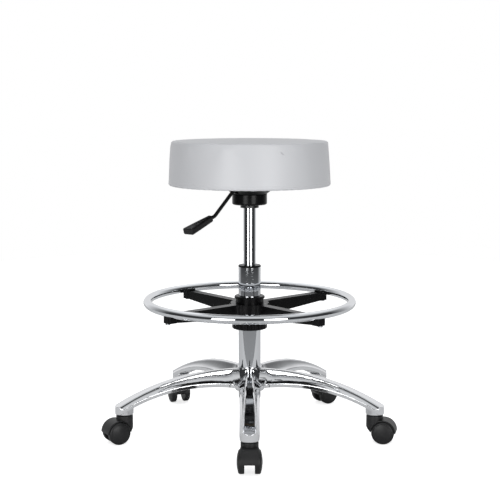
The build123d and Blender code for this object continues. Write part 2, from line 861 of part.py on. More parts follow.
# One caster, with its stem on the Z axis and its axle trailing along +X
hood_side = Plane.XZ
web_half = web_width / 2
hood_half = hood_width / 2
with BuildPart() as caster_hood:
    with BuildSketch(hood_side):
        with Locations((caster_trail, axle_height)):
            Circle(hood_radius)
    extrude(amount=hood_half, both=True)
    fillet(caster_hood.edges().filter_by(GeomType.CIRCLE), hood_edge)
    with BuildSketch(Plane.XY.offset(axle_height)):
        Circle(neck_diameter / 2)
    extrude(amount=caster_height - axle_height)
    fillet(caster_hood.edges().group_by(Axis.Z)[-1], neck_edge)
    with BuildSketch(hood_side):
        with BuildLine():
            Polyline(
                (-neck_diameter, hood_back_height),
                (-neck_diameter / 2, hood_back_height),
                (-hood_heel_reach, hood_lip_height),
                (caster_trail + 2 * hood_radius, hood_lip_height),
                (caster_trail + 2 * hood_radius, -axle_height),
                (-neck_diameter, -axle_height),
                close=True,
            )
        make_face()
    extrude(amount=hood_width, both=True, mode=Mode.SUBTRACT)
    with BuildSketch(hood_side):
        with Locations((caster_trail, axle_height)):
            Circle(axle_boss_radius)
    extrude(amount=web_half, both=True)
    for side in (1, -1):
        with BuildSketch(hood_side.offset(side * web_half)):
            with Locations((caster_trail, axle_height)):
                Circle(pocket_radius)
        extrude(amount=side * hood_width, mode=Mode.SUBTRACT)
    with BuildSketch(hood_side):
        with Locations((caster_trail, axle_height)):
            Circle(axle_diameter / 2)
    extrude(amount=hood_width, both=True, mode=Mode.SUBTRACT)
    with BuildSketch(Plane.XY.offset(caster_height)):
        Circle(stem_radius)
    extrude(amount=-stem_in_hood, mode=Mode.SUBTRACT)

grip_top = stem_top - grip_below_end
grip_bottom = grip_top - grip_width
stem_groove_radius = stem_radius - grip_thickness + running_fit
with BuildPart() as caster_stem:
    add(
        turned(
            [
                (0, caster_height - stem_in_hood),
                (stem_radius, caster_height - stem_in_hood),
                (stem_radius, caster_height),
                (collar_diameter / 2, caster_height),
                (collar_diameter / 2, caster_height + collar_thickness),
                (stem_radius, caster_height + collar_thickness),
                (stem_radius, grip_bottom),
                (stem_groove_radius, grip_bottom),
                (stem_groove_radius, grip_top),
                (stem_radius, grip_top),
                (stem_radius, stem_top - stem_tip),
                (stem_radius - stem_tip, stem_top),
                (0, stem_top),
            ]
        )
    )
    revolve(axis=Axis.Z)

with BuildPart() as caster_grip:
    with BuildSketch(Plane.XY.offset(grip_bottom)):
        Circle(stem_radius)
        Circle(stem_groove_radius, mode=Mode.SUBTRACT)
        with Locations((stem_radius, 0)):
            Rectangle(stem_diameter, grip_slit, mode=Mode.SUBTRACT)
    extrude(amount=grip_width)

wheel_inner = wheel_gap / 2
axle_half = wheel_inner + axle_grip
with BuildPart() as caster_axle:
    with BuildSketch(hood_side):
        with Locations((caster_trail, axle_height)):
            Circle(axle_diameter / 2)
    extrude(amount=axle_half, both=True)


def swell(start, end):
    """The middle point of a quarter round that leaves start along the axle and turns in to end."""
    share = sin(radians(45))
    return (start[0] + (end[0] - start[0]) * share, end[1] + (start[1] - end[1]) * share)


def caster_wheel(side):
    """One wheel: a tread beside the hood, a rounded rim and a raised, domed disc."""
    tread_end = wheel_inner + tread_width
    bore = axle_diameter / 2 + running_fit
    bore_end = side * (axle_half + face_gap)
    groove_floor = side * (tread_end + rim_rise - disc_groove_depth)
    rim_start = (side * tread_end, wheel_radius)
    rim_end = (side * (tread_end + rim_rise), disc_radius + disc_groove_width)
    disc_edge = (side * (tread_end + disc_rise), disc_radius)
    pole = (side * (tread_end + wheel_dome), 0)
    cap_rise = wheel_dome - disc_rise
    cap_radius = (disc_radius ** 2 + cap_rise ** 2) / (2 * cap_rise)
    cap_drop = cap_radius - sqrt(cap_radius ** 2 - (disc_radius / 2) ** 2)
    cap_middle = (side * (tread_end + wheel_dome - cap_drop), disc_radius / 2)
    with BuildPart() as wheel:
        with BuildSketch(axle_side):
            with BuildLine():
                Polyline(
                    pole,
                    (bore_end, 0),
                    (bore_end, bore),
                    (side * wheel_inner, bore),
                    (side * wheel_inner, wheel_radius - wheel_edge),
                    (side * (wheel_inner + wheel_edge), wheel_radius),
                    rim_start,
                )
                ThreePointArc(rim_start, swell(rim_start, rim_end), rim_end)
                Polyline(
                    rim_end,
                    (groove_floor, rim_end[1]),
                    (groove_floor, disc_radius),
                    disc_edge,
                )
                ThreePointArc(disc_edge, cap_middle, pole)
            make_face()
        revolve(axis=axle_axis)
    return wheel.part


caster_pieces = {
    "caster_hood": caster_hood.part,
    "caster_stem": caster_stem.part,
    "caster_grip": caster_grip.part,
    "caster_axle": caster_axle.part,
    "wheel_left": caster_wheel(1),
    "wheel_right": caster_wheel(-1),
}
for index, (place, trail_angle) in enumerate(trail_angles.items()):
    arm_angle = radians(front_arm_angle + index * 360 / arm_count)
    stem_x = caster_circle_radius * cos(arm_angle)
    stem_y = caster_circle_radius * sin(arm_angle)
    seat_of_caster = Location((stem_x, stem_y, 0), (0, 0, trail_angle))
    for name, piece in caster_pieces.items():
        save(piece.moved(seat_of_caster), f"{name}_{place}")
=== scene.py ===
"""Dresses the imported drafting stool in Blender: its padded seat, its finishes and the studio around it.

Metres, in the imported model's frame: the origin is on the floor under the column, +Z is up, -Y is the front.
"""
import json
import math

import bmesh
import bpy
import numpy as np
from mathutils import Matrix, Vector


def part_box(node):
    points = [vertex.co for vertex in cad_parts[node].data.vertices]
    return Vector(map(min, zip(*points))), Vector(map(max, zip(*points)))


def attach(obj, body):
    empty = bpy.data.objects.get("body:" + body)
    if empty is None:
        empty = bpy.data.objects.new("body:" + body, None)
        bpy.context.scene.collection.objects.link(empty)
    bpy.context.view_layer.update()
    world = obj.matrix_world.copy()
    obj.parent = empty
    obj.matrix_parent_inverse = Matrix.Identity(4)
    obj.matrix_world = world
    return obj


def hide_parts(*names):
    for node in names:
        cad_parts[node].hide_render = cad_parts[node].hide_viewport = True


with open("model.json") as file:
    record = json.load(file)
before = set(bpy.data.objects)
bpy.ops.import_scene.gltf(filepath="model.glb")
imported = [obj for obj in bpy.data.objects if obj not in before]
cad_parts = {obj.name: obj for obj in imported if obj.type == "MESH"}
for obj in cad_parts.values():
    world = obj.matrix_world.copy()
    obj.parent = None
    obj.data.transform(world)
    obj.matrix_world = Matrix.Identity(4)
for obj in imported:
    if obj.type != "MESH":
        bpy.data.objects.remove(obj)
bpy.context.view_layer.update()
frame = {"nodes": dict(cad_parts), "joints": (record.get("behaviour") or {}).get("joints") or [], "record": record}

bl_info = {
    "name": "Drafting Stool",
    "version": (1, 0, 0),
    "blender": (4, 5, 0),
    "location": "3D View > Sidebar > Stool",
    "description": "Upholsters and finishes a drafting stool on its packed frame",
    "category": "Object",
}

MILLIMETRE = 0.001
PLACES = ("front", "right", "rear_right", "rear_left", "left")
# Sockets of a Mix node that mixes colours: its share, its two colours and its result
SHARE, FIRST, SECOND, MIXED = 0, 6, 7, 2


def linear(hex_colour):
    """The linear colour of an sRGB hex value such as #8090A0."""
    shares = [int(hex_colour[at:at + 2], 16) / 255 for at in (1, 3, 5)]
    return tuple(share / 12.92 if share <= 0.04045 else ((share + 0.055) / 1.055) ** 2.4 for share in shares)


def per_metre(millimetres):
    """The scale of a pattern whose cells or waves measure this many millimetres."""
    return 1 / (millimetres * MILLIMETRE)


def colour_prop(name, description, hex_colour):
    """A colour that a user may change, given as an sRGB hex value."""
    return bpy.props.FloatVectorProperty(
        name=name, description=description, default=linear(hex_colour), size=3, min=0, max=1, subtype="COLOR"
    )


def length_prop(name, description, metres):
    """A length that a user may change."""
    return bpy.props.FloatProperty(name=name, description=description, default=metres, min=0, unit="LENGTH")


seat_low, seat_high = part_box("seat_cushion")
board_low, board_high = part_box("seat_board")
cloth_low, cloth_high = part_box("dust_cover")


class StoolColours(bpy.types.PropertyGroup):
    """Colours of the stool's finishes."""

    vinyl: colour_prop("Vinyl", "Seat cover", "#D5D6D9")
    chrome: colour_prop("Chrome", "Plated column, piston tube and foot ring", "#E3E5E8")
    aluminium: colour_prop("Aluminium", "Polished star base", "#E9EAEC")
    nylon: colour_prop("Nylon", "Foot ring spider, clamp and mechanism cup", "#101011")
    polypropylene: colour_prop("Polypropylene", "Lever grip", "#171718")
    caster: colour_prop("Casters", "Wheels and hoods", "#1B1B1C")
    powder: colour_prop("Powder coat", "Seat plate and lever", "#161718")
    zinc: colour_prop("Zinc", "Bolts, pins and inner steel", "#B4B8BB")
    birch: colour_prop("Birch", "Seat board", "#C9AA7C")
    cloth: colour_prop("Dust cloth", "Cloth under the seat", "#141415")


class StoolSeat(bpy.types.PropertyGroup):
    """Sizes of the padded seat."""

    draw_in: length_prop("Draw-in", "How far the side leans in from its bottom to its top", 0.0062)
    crown: length_prop("Crown", "How far the middle of the top stands above its rim", 0.0038)
    bulge: length_prop("Bulge", "How far the side swells out half way up", 0.0006)
    top_corner: length_prop("Top corner", "Softness of the upper edge", 0.0055)
    bottom_corner: length_prop("Bottom corner", "Softness of the lower edge", 0.007)
    swell: length_prop("Swell", "The most that the foam pushes the cover out", 0.0006)
    fold_height: length_prop(
        "Fold height", "Height of the crease where the cover goes over the board's edge", 0.0075
    )
    fold_depth: length_prop("Fold depth", "Depth of that crease", 0.0006)
    gather_depth: length_prop(
        "Gather depth", "Depth of the pleats where the cover is pulled under the board", 0.0006
    )
    gathers: bpy.props.IntProperty(
        name="Gathers", description="Pleats around the turned-in edge", default=58, min=3
    )
    board_gap: length_prop("Board gap", "Room between the cover and the board", 0.0002)
    staple_wire: length_prop("Staple wire", "Thickness of a staple's wire", 0.0007)
    staple_width: length_prop("Staple width", "Length of a staple's bridge", 0.011)
    cloth_staples: bpy.props.IntProperty(
        name="Cloth staples", description="Staples along the dust cloth's edge", default=34, min=3
    )
    cover_staples: bpy.props.IntProperty(
        name="Cover staples", description="Staples along the cover's turned-in edge", default=46, min=3
    )


class StoolStudio(bpy.types.PropertyGroup):
    """Sizes and brightness of the studio."""

    distance: length_prop("Distance", "From the column to the camera", 2.54524)
    height: length_prop("Height", "Camera height above the floor", 0.74654)
    pitch: bpy.props.FloatProperty(
        name="Pitch",
        description="How far the camera looks down",
        default=math.radians(7.4156),
        unit="ROTATION",
    )
    lens: bpy.props.FloatProperty(
        name="Lens", description="Focal length in millimetres", default=82.36, min=1
    )
    aside: bpy.props.FloatProperty(name="Aside", description="Camera shift of the photograph", default=0.0008)
    floor_radius: length_prop("Floor radius", "Radius of the pale floor", 1.9)
    floor_shift: length_prop("Floor shift", "How far back the middle of the floor lies", 1.25)
    box_aside: length_prop("Softbox aside", "From the column to a softbox, sideways", 1.3)
    box_ahead: length_prop("Softbox ahead", "From the column to a softbox, towards the camera", 2.6)
    box_middle: length_prop("Softbox middle", "Height of a softbox's middle above the floor", 0.66)
    box_width: length_prop("Softbox width", "Width of a softbox", 1.2)
    box_height: length_prop("Softbox height", "Height of a softbox", 1.38)
    side_light: bpy.props.FloatProperty(
        name="Side lights", description="Watts of each softbox", default=31, min=0
    )


def add_node(tree, kind, inputs=None, **settings):
    """Add a node with its settings; an input is a value or the socket that feeds it."""
    node = tree.nodes.new(kind)
    for name, value in settings.items():
        setattr(node, name, value)
    for socket, value in (inputs or {}).items():
        if isinstance(value, bpy.types.NodeSocket):
            tree.links.new(value, node.inputs[socket])
        else:
            node.inputs[socket].default_value = value
    return node


def new_material(name):
    """An empty node material, its tree and its output."""
    material = bpy.data.materials.new(name)
    material.use_nodes = True
    material.node_tree.nodes.clear()
    return material, material.node_tree, material.node_tree.nodes.new("ShaderNodeOutputMaterial")


def solid_colour(linear_colour):
    """A socket's colour, with its alpha."""
    return (*linear_colour, 1)


def shade(linear_colour, share):
    """A lighter or darker shade of a colour."""
    return (*(min(part * share, 1) for part in linear_colour), 1)


def dress(material, *names):
    """Give these pieces of the frame one finish."""
    for name in names:
        piece = frame["nodes"][name]
        piece.data.materials.clear()
        piece.data.materials.append(material)


def new_piece(name, mesh, body, material):
    """Show a finished mesh as a piece that rides on a body."""
    piece = bpy.data.objects.new(name, mesh)
    bpy.context.scene.collection.objects.link(piece)
    mesh.materials.append(material)
    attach(piece, body)
    return piece


# Expanded vinyl, calendered and embossed: satin and very even, its grain shows only where light grazes it
def expanded_vinyl(colour):
    material, tree, output = new_material("expanded_vinyl_embossed")
    place = add_node(tree, "ShaderNodeTexCoord")
    patches = add_node(
        tree, "ShaderNodeTexNoise", {"Vector": place.outputs["Object"], "Scale": per_metre(90), "Detail": 2}
    )
    tint = add_node(
        tree,
        "ShaderNodeMix",
        {SHARE: patches.outputs["Fac"], FIRST: shade(colour, 0.965), SECOND: shade(colour, 1.03)},
        data_type="RGBA",
    )
    # Grain cells of about 0.9 mm
    grain = add_node(
        tree,
        "ShaderNodeTexVoronoi",
        {"Vector": place.outputs["Object"], "Scale": per_metre(0.9), "Randomness": 0.9},
        feature="SMOOTH_F1",
    )
    relief = add_node(
        tree,
        "ShaderNodeBump",
        {"Height": grain.outputs["Distance"], "Strength": 0.1, "Distance": 0.1 * MILLIMETRE},
    )
    # The one short crease in the cover, right of the front
    azimuth = math.radians(-67)
    lean = math.radians(-38)
    radius = seat_high.x - 0.005
    height = seat_low.z + 0.0775
    deep, long, wide = 0.02, 0.0065, 0.0011
    crease_at = Vector((radius * math.cos(azimuth), radius * math.sin(azimuth), height))
    turn = Matrix.Rotation(azimuth, 3, "Z") @ Matrix.Rotation(lean, 3, "X")
    crease_place = add_node(
        tree,
        "ShaderNodeVectorMath",
        {0: place.outputs["Object"], 1: tuple(-crease_at)},
        operation="ADD",
    )
    crease_turn = add_node(
        tree,
        "ShaderNodeVectorRotate",
        {"Vector": crease_place.outputs["Vector"], "Rotation": turn.inverted().to_euler()},
        rotation_type="EULER_XYZ",
    )
    crease_size = add_node(
        tree,
        "ShaderNodeVectorMath",
        {0: crease_turn.outputs["Vector"], 1: (deep, long, wide)},
        operation="DIVIDE",
    )
    crease = add_node(
        tree, "ShaderNodeTexGradient", {"Vector": crease_size.outputs["Vector"]}, gradient_type="SPHERICAL"
    )
    creased = add_node(
        tree,
        "ShaderNodeBump",
        {
            "Height": crease.outputs["Fac"],
            "Strength": 1,
            "Distance": 1.2 * MILLIMETRE,
            "Normal": relief.outputs["Normal"],
        },
        invert=True,
    )
    gloss = add_node(
        tree,
        "ShaderNodeMapRange",
        {"Value": patches.outputs["Fac"], "To Min": 0.4, "To Max": 0.46},
    )
    skin = add_node(
        tree,
        "ShaderNodeBsdfPrincipled",
        {
            "Base Color": tint.outputs[MIXED],
            "Roughness": gloss.outputs["Result"],
            "IOR": 1.52,
            "Normal": creased.outputs["Normal"],
        },
    )
    tree.links.new(skin.outputs["BSDF"], output.inputs["Surface"])
    return material


# Chrome plate on drawn steel tube: a near mirror, with faint polishing haze drawn out round the tube
def chrome_plate(colour):
    material, tree, output = new_material("chrome_plated_drawn_steel")
    place = add_node(tree, "ShaderNodeTexCoord")
    # Polishing marks 0.4 mm apart, drawn coarser than real so that they show
    stretch = add_node(
        tree, "ShaderNodeVectorMath", {0: place.outputs["Object"], 1: (0.05, 0.05, 1)}, operation="MULTIPLY"
    )
    marks = add_node(
        tree,
        "ShaderNodeTexNoise",
        {"Vector": stretch.outputs["Vector"], "Scale": per_metre(0.4), "Detail": 3},
    )
    haze = add_node(
        tree, "ShaderNodeMapRange", {"Value": marks.outputs["Fac"], "To Min": 0.03, "To Max": 0.06}
    )
    mirror = add_node(
        tree,
        "ShaderNodeBsdfPrincipled",
        {"Base Color": solid_colour(colour), "Metallic": 1, "Roughness": haze.outputs["Result"]},
    )
    tree.links.new(mirror.outputs["BSDF"], output.inputs["Surface"])
    return material


# Die-cast aluminium, linished and buffed: bright, a little softer than chrome, with slow waves from the wheel
def polished_aluminium(colour):
    material, tree, output = new_material("polished_cast_aluminium")
    place = add_node(tree, "ShaderNodeTexCoord")
    # Buffing waves of about 35 mm and fine grit haze of about 2 mm
    waves = add_node(
        tree, "ShaderNodeTexNoise", {"Vector": place.outputs["Object"], "Scale": per_metre(35), "Detail": 2}
    )
    grit = add_node(
        tree, "ShaderNodeTexNoise", {"Vector": place.outputs["Object"], "Scale": per_metre(2), "Detail": 4}
    )
    haze = add_node(
        tree, "ShaderNodeMapRange", {"Value": grit.outputs["Fac"], "To Min": 0.05, "To Max": 0.09}
    )
    rounded = add_node(tree, "ShaderNodeBevel", {"Radius": 1.2 * MILLIMETRE}, samples=6)
    relief = add_node(
        tree,
        "ShaderNodeBump",
        {
            "Height": waves.outputs["Fac"],
            "Strength": 0.2,
            "Distance": 0.8 * MILLIMETRE,
            "Normal": rounded.outputs["Normal"],
        },
    )
    metal = add_node(
        tree,
        "ShaderNodeBsdfPrincipled",
        {
            "Base Color": solid_colour(colour),
            "Metallic": 1,
            "Roughness": haze.outputs["Result"],
            "Normal": relief.outputs["Normal"],
        },
    )
    tree.links.new(metal.outputs["BSDF"], output.inputs["Surface"])
    return material


# Injection-moulded black plastic: the mould's fine texture breaks the gloss, and edges are lightly rounded
def moulded_plastic(name, colour, gloss, texture_mm, shine):
    material, tree, output = new_material(name)
    place = add_node(tree, "ShaderNodeTexCoord")
    texture = add_node(
        tree,
        "ShaderNodeTexNoise",
        {"Vector": place.outputs["Object"], "Scale": per_metre(texture_mm), "Detail": 3, "Roughness": 0.6},
    )
    wear = add_node(
        tree, "ShaderNodeTexNoise", {"Vector": place.outputs["Object"], "Scale": per_metre(24), "Detail": 4}
    )
    tint = add_node(
        tree,
        "ShaderNodeMix",
        {SHARE: wear.outputs["Fac"], FIRST: shade(colour, 0.8), SECOND: shade(colour, 1.25)},
        data_type="RGBA",
    )
    haze = add_node(
        tree,
        "ShaderNodeMapRange",
        {"Value": wear.outputs["Fac"], "To Min": gloss - 0.05, "To Max": gloss + 0.07},
    )
    rounded = add_node(tree, "ShaderNodeBevel", {"Radius": 0.7 * MILLIMETRE}, samples=6)
    relief = add_node(
        tree,
        "ShaderNodeBump",
        {
            "Height": texture.outputs["Fac"],
            "Strength": 0.12,
            "Distance": 0.1 * MILLIMETRE,
            "Normal": rounded.outputs["Normal"],
        },
    )
    plastic = add_node(
        tree,
        "ShaderNodeBsdfPrincipled",
        {
            "Base Color": tint.outputs[MIXED],
            "Roughness": haze.outputs["Result"],
            "Specular IOR Level": shine,
            "Normal": relief.outputs["Normal"],
        },
    )
    tree.links.new(plastic.outputs["BSDF"], output.inputs["Surface"])
    return material


# Powder-coated pressed steel: a thick satin skin with the slight orange peel of cured powder
def powder_coat(colour):
    material, tree, output = new_material("powder_coated_pressed_steel")
    place = add_node(tree, "ShaderNodeTexCoord")
    peel = add_node(
        tree, "ShaderNodeTexNoise", {"Vector": place.outputs["Object"], "Scale": per_metre(1.6), "Detail": 2}
    )
    rounded = add_node(tree, "ShaderNodeBevel", {"Radius": 0.6 * MILLIMETRE}, samples=6)
    relief = add_node(
        tree,
        "ShaderNodeBump",
        {
            "Height": peel.outputs["Fac"],
            "Strength": 0.25,
            "Distance": 0.2 * MILLIMETRE,
            "Normal": rounded.outputs["Normal"],
        },
    )
    haze = add_node(
        tree, "ShaderNodeMapRange", {"Value": peel.outputs["Fac"], "To Min": 0.32, "To Max": 0.44}
    )
    paint = add_node(
        tree,
        "ShaderNodeBsdfPrincipled",
        {
            "Base Color": solid_colour(colour),
            "Roughness": haze.outputs["Result"],
            "Normal": relief.outputs["Normal"],
        },
    )
    tree.links.new(paint.outputs["BSDF"], output.inputs["Surface"])
    return material


# Zinc-plated machined steel: pale grey metal, cloudy from the passivating bath
def zinc_plate(colour):
    material, tree, output = new_material("zinc_plated_machined_steel")
    place = add_node(tree, "ShaderNodeTexCoord")
    clouds = add_node(
        tree, "ShaderNodeTexNoise", {"Vector": place.outputs["Object"], "Scale": per_metre(4), "Detail": 4}
    )
    tint = add_node(
        tree,
        "ShaderNodeMix",
        {SHARE: clouds.outputs["Fac"], FIRST: shade(colour, 0.8), SECOND: shade(colour, 1.1)},
        data_type="RGBA",
    )
    haze = add_node(
        tree, "ShaderNodeMapRange", {"Value": clouds.outputs["Fac"], "To Min": 0.24, "To Max": 0.4}
    )
    metal = add_node(
        tree,
        "ShaderNodeBsdfPrincipled",
        {"Base Color": tint.outputs[MIXED], "Metallic": 1, "Roughness": haze.outputs["Result"]},
    )
    tree.links.new(metal.outputs["BSDF"], output.inputs["Surface"])
    return material


# Rotary-cut birch plywood, sanded: flat grain on its faces and stacked plies along its edge
def birch_plywood(colour):
    material, tree, output = new_material("rotary_cut_birch_plywood")
    place = add_node(tree, "ShaderNodeTexCoord")
    along = add_node(
        tree, "ShaderNodeVectorMath", {0: place.outputs["Object"], 1: (0.08, 1, 1)}, operation="MULTIPLY"
    )
    grain = add_node(
        tree,
        "ShaderNodeTexNoise",
        {"Vector": along.outputs["Vector"], "Scale": per_metre(5), "Detail": 5, "Distortion": 0.6},
    )
    # Plies of 1.5 mm, so a light and a dark one take 3 mm
    plies = add_node(
        tree,
        "ShaderNodeTexWave",
        {"Vector": place.outputs["Object"], "Scale": per_metre(3) / 20, "Distortion": 0.2},
        bands_direction="Z",
        wave_profile="TRI",
    )
    mixed = add_node(
        tree,
        "ShaderNodeMath",
        {0: grain.outputs["Fac"], 1: plies.outputs["Fac"]},
        operation="MULTIPLY",
    )
    tint = add_node(
        tree,
        "ShaderNodeMix",
        {SHARE: mixed.outputs["Value"], FIRST: shade(colour, 0.55), SECOND: shade(colour, 1.15)},
        data_type="RGBA",
    )
    wood = add_node(tree, "ShaderNodeBsdfPrincipled", {"Base Color": tint.outputs[MIXED], "Roughness": 0.62})
    tree.links.new(wood.outputs["BSDF"], output.inputs["Surface"])
    return material


# Spun-bonded polypropylene: thin dull cloth with the pin-point pattern of its bonding roller
def spunbond_cloth(colour):
    material, tree, output = new_material("spunbonded_polypropylene_cloth")
    place = add_node(tree, "ShaderNodeTexCoord")
    points = add_node(
        tree,
        "ShaderNodeTexVoronoi",
        {"Vector": place.outputs["Object"], "Scale": per_metre(1.4), "Randomness": 0.15},
    )
    tint = add_node(
        tree,
        "ShaderNodeMix",
        {SHARE: points.outputs["Distance"], FIRST: shade(colour, 0.7), SECOND: shade(colour, 1.7)},
        data_type="RGBA",
    )
    relief = add_node(
        tree,
        "ShaderNodeBump",
        {"Height": points.outputs["Distance"], "Strength": 0.5, "Distance": 0.15 * MILLIMETRE},
    )
    fibres = add_node(
        tree,
        "ShaderNodeBsdfPrincipled",
        {
            "Base Color": tint.outputs[MIXED],
            "Roughness": 0.85,
            "Sheen Weight": 0.15,
            "Normal": relief.outputs["Normal"],
        },
    )
    tree.links.new(fibres.outputs["BSDF"], output.inputs["Surface"])
    return material


# Matt white acrylic sheet, lit from below: seen straight it is white with the faintest shadow
def studio_floor():
    material, tree, output = new_material("matt_white_acrylic_sheet")
    place = add_node(tree, "ShaderNodeTexCoord")
    mottle = add_node(
        tree, "ShaderNodeTexNoise", {"Vector": place.outputs["Object"], "Scale": per_metre(120), "Detail": 3}
    )
    tint = add_node(
        tree,
        "ShaderNodeMix",
        {
            SHARE: mottle.outputs["Fac"],
            FIRST: solid_colour(linear("#F8F8F8")),
            SECOND: solid_colour(linear("#FCFCFC")),
        },
        data_type="RGBA",
    )
    lit = add_node(
        tree,
        "ShaderNodeBsdfPrincipled",
        {
            "Base Color": tint.outputs[MIXED],
            "Roughness": 0.9,
            "Specular IOR Level": 0,
            "Emission Color": solid_colour(linear("#FFFFFF")),
            "Emission Strength": 0.7,
        },
    )
    dim = add_node(tree, "ShaderNodeBsdfDiffuse", {"Color": solid_colour(linear("#EAEAEA"))})
    rays = add_node(tree, "ShaderNodeLightPath")
    sheet = add_node(
        tree,
        "ShaderNodeMixShader",
        {0: rays.outputs["Is Camera Ray"], 1: dim.outputs["BSDF"], 2: lit.outputs["BSDF"]},
    )
    tree.links.new(sheet.outputs["Shader"], output.inputs["Surface"])
    return material


# Steps of the seat's outline, and the points round each of its rings
TOP_STEPS, SIDE_STEPS, UNDER_STEPS = 15, 18, 6
UPPER_CORNER_STEPS, LOWER_CORNER_STEPS = 8, 7
SEAT_AROUND = 96


def softened(before, corner, after, count):
    """Points that round a corner between two of its neighbours, without its two ends."""
    before, corner, after = Vector(before), Vector(corner), Vector(after)
    shares = [step / count for step in range(1, count)]
    return [(1 - s) ** 2 * before + 2 * s * (1 - s) * corner + s ** 2 * after for s in shares]


def seat_outline(seat):
    """(radius, height) points of the cover, from the middle of its top to its turned-in edge."""
    bottom_radius = seat_high.x
    top_radius = bottom_radius - seat.draw_in
    rim = seat_high.z - seat.crown
    side_height = rim - seat_low.z

    def on_top(radius):
        return Vector((radius, seat_high.z - seat.crown * (radius / top_radius) ** 2))

    def on_side(share):
        lean = top_radius + seat.draw_in * share
        return Vector((lean + 4 * seat.bulge * share * (1 - share), rim - side_height * share))

    top_end = top_radius - seat.top_corner
    side_start = seat.top_corner / side_height
    side_end = 1 - seat.bottom_corner / side_height
    under_start = bottom_radius - seat.bottom_corner
    crown = [on_top(top_end * (step / TOP_STEPS) ** 0.8) for step in range(1, TOP_STEPS + 1)]
    side = [
        on_side(side_start + (side_end - side_start) * step / SIDE_STEPS) for step in range(SIDE_STEPS + 1)
    ]
    under = [
        Vector((under_start + (cloth_high.x - under_start) * step / UNDER_STEPS, seat_low.z))
        for step in range(UNDER_STEPS + 1)
    ]
    upper_corner = softened(crown[-1], (top_radius, rim), side[0], UPPER_CORNER_STEPS)
    lower_corner = softened(side[-1], (bottom_radius, seat_low.z), under[0], LOWER_CORNER_STEPS)
    return crown + upper_corner + side + lower_corner + under


def seat_hollow(seat):
    """(radius, height) points of the cover's inside, round the board, from its edge to under the foam."""
    inner = cloth_high.x
    outer = board_high.x + seat.board_gap
    floor = board_low.z - seat.board_gap
    ceiling = board_high.z + seat.board_gap
    return [Vector(point) for point in ((inner, floor), (outer, floor), (outer, ceiling), (inner, ceiling))]


def revolved(name, points, top, bottom, around):
    """A closed mesh turned from (radius, height) points, with its two middle points."""
    mesh = bpy.data.meshes.new(name)
    build = bmesh.new()
    rings = []
    for radius, height in points:
        ring = []
        for step in range(around):
            angle = 2 * math.pi * step / around
            ring.append(build.verts.new((radius * math.cos(angle), radius * math.sin(angle), height)))
        rings.append(ring)
    for upper, lower in zip(rings, rings[1:]):
        for step in range(around):
            after = (step + 1) % around
            build.faces.new((upper[step], lower[step], lower[after], upper[after]))
    crown = build.verts.new((0, 0, top))
    foot = build.verts.new((0, 0, bottom))
    for step in range(around):
        after = (step + 1) % around
        build.faces.new((crown, rings[0][step], rings[0][after]))
        build.faces.new((foot, rings[-1][after], rings[-1][step]))
    for face in build.faces:
        face.smooth = True
    build.to_mesh(mesh)
    build.free()
    return mesh


def points_of(mesh):
    """A mesh's points as an array."""
    points = np.empty(len(mesh.vertices) * 3)
    mesh.vertices.foreach_get("co", points)
    return points.reshape(-1, 3)


def set_points(mesh, points):
    """Move a mesh's points."""
    mesh.vertices.foreach_set("co", points.ravel())
    mesh.update()


def stuff(piece, held, swell):
    """Let foam pressure push the free points of a cover out, by the swell at most."""
    scene = bpy.context.scene
    last_frame = 20
    group = piece.vertex_groups.new(name="held")
    group.add([int(index) for index in np.flatnonzero(held)], 1, "REPLACE")
    cloth = piece.modifiers.new("foam_pressure", "CLOTH")
    cloth.settings.quality = 6
    cloth.settings.mass = 0.4
    cloth.settings.tension_stiffness = 60
    cloth.settings.compression_stiffness = 60
    cloth.settings.bending_stiffness = 12
    cloth.settings.use_pressure = True
    cloth.settings.uniform_pressure_force = 4
    cloth.settings.vertex_group_mass = "held"
    cloth.settings.effector_weights.gravity = 0
    cloth.point_cache.frame_end = last_frame
    for number in range(1, last_frame + 1):
        scene.frame_set(number)
    start = points_of(piece.data)
    evaluated = piece.evaluated_get(bpy.context.evaluated_depsgraph_get())
    moved = points_of(evaluated.to_mesh()) - start
    evaluated.to_mesh_clear()
    piece.modifiers.remove(cloth)
    scene.frame_set(1)
    length = np.linalg.norm(moved, axis=1, keepdims=True)
    set_points(piece.data, start + moved * np.minimum(1, swell / np.maximum(length, 1e-9)))


def subdivided(mesh, levels):
    """A copy of a mesh with a subdivision surface applied."""
    carrier = bpy.data.objects.new("subdivided", mesh)
    bpy.context.scene.collection.objects.link(carrier)
    surface = carrier.modifiers.new("smooth", "SUBSURF")
    surface.levels = levels
    evaluated = carrier.evaluated_get(bpy.context.evaluated_depsgraph_get())
    result = bpy.data.meshes.new_from_object(evaluated)
    bpy.data.objects.remove(carrier)
    return result


